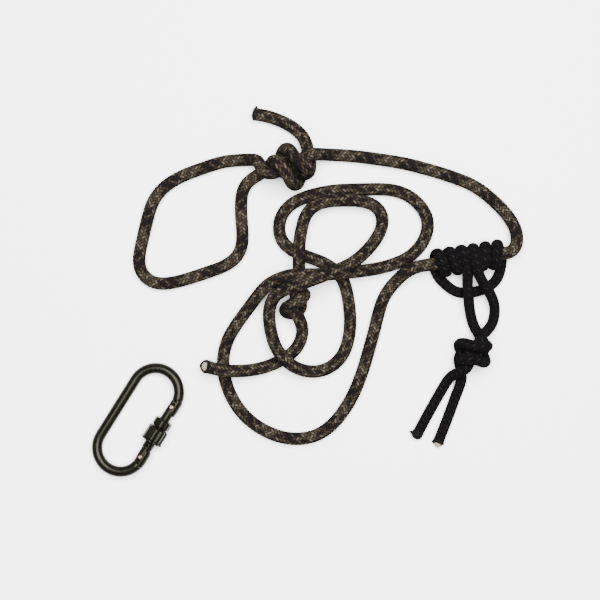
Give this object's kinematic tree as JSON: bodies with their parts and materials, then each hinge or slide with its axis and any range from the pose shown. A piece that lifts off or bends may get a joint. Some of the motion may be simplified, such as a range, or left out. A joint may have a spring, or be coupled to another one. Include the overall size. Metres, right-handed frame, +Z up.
{
  "type": "climbing rope set",
  "caption": "Camouflage safety rope with a fixed loop, a stopper knot and a black friction-hitch cord, lying beside an oval screw-lock carabiner.",
  "frame": {"origin": "on the floor under the middle of the whole set", "axes": "+Z up from the floor, +X the long way across the set towards the hitch, +Y towards the fixed loop's knot"},
  "size_m": [0.3787, 0.325, 0.0435],
  "materials": {
    "camo_rope": "braided camouflage sheath in dark brown, olive and black, matt",
    "black_cord": "black braided cord, matt",
    "melted_end": "melted fibre, slightly shiny",
    "rope_core": "pale core fibres, matt",
    "dark_steel": "dark olive-grey coated steel, satin",
    "bright_steel": "bright steel",
    "copper_rivet": "coppery rivet heads, polished"
  },
  "bodies": {
    "rope": {"rope_tail": "camo_rope", "rope_fixed_loop": "camo_rope", "loop_knot": "camo_rope", "rope_upper_run": "camo_rope", "rope_gripped_run": "camo_rope", "rope_outer_sweep": "camo_rope", "rope_right_loop": "camo_rope", "rope_inner_loop": "camo_rope", "rope_return_run": "camo_rope", "stopper_knot": "camo_rope", "rope_free_end": "camo_rope", "rope_tail_seal": "melted_end", "rope_free_core": "rope_core"},
    "hitch": {"hitch_turns_left": "black_cord", "hitch_turns_right": "black_cord", "hitch_bridge": "black_cord", "hitch_leg_left": "black_cord", "hitch_leg_right": "black_cord", "hitch_joining_knot": "black_cord", "hitch_tail_left": "black_cord", "hitch_tail_right": "black_cord", "hitch_tail_left_seal": "melted_end", "hitch_tail_right_core": "rope_core"},
    "carabiner": {"carabiner_frame": "dark_steel", "hinge_rivet": "copper_rivet"},
    "gate": {"carabiner_gate": "dark_steel", "latch_pin": "copper_rivet", "gate_collar": "dark_steel", "gate_spring": "bright_steel"},
    "plunger": {"gate_plunger": "bright_steel"},
    "lock_carrier": {"lock_friction_ring": "bright_steel"},
    "lock": {"lock_nut": "dark_steel"}
  },
  "joints": [
    {"name": "hitch_turn", "type": "hinge", "parent": "rope", "child": "hitch", "pos_m": [0.1413, 0.0289, 0.0134], "axis": [-0.989, -0.1478, 0], "range_deg": [0, 150]},
    {"name": "carabiner_lift", "type": "slide", "parent": "rope", "child": "carabiner", "axis": [0, 0, 1], "range_m": [0, 0.25]},
    {"name": "gate_hinge", "type": "hinge", "parent": "carabiner", "child": "gate", "pos_m": [-0.11796, -0.10132, 0.01011], "axis": [0.1091, -0.0684, -0.9917], "range_deg": [0, 28], "stiffness_Nm_per_rad": 0.15, "springref_deg": -17.19},
    {"name": "plunger_slide", "type": "slide", "parent": "gate", "child": "plunger", "axis": [-0.5314, -0.8471, 0], "range_m": [0, 0.001]},
    {"name": "lock_slide", "type": "slide", "parent": "gate", "child": "lock_carrier", "axis": [-0.5314, -0.8471, 0], "range_m": [0, 0.012]},
    {"name": "lock_turn", "type": "hinge", "parent": "lock_carrier", "child": "lock", "pos_m": [-0.13162, -0.12309, 0.01011], "axis": [-0.5314, -0.8471, 0], "range_deg": [0, 1085]}
  ],
  "couplings": [
    {"joint": "plunger_slide", "follows": "gate_hinge", "m_per_rad": 0.0019},
    {"joint": "lock_turn", "follows": "lock_slide", "rad_per_m": 1570.8}
  ]
}
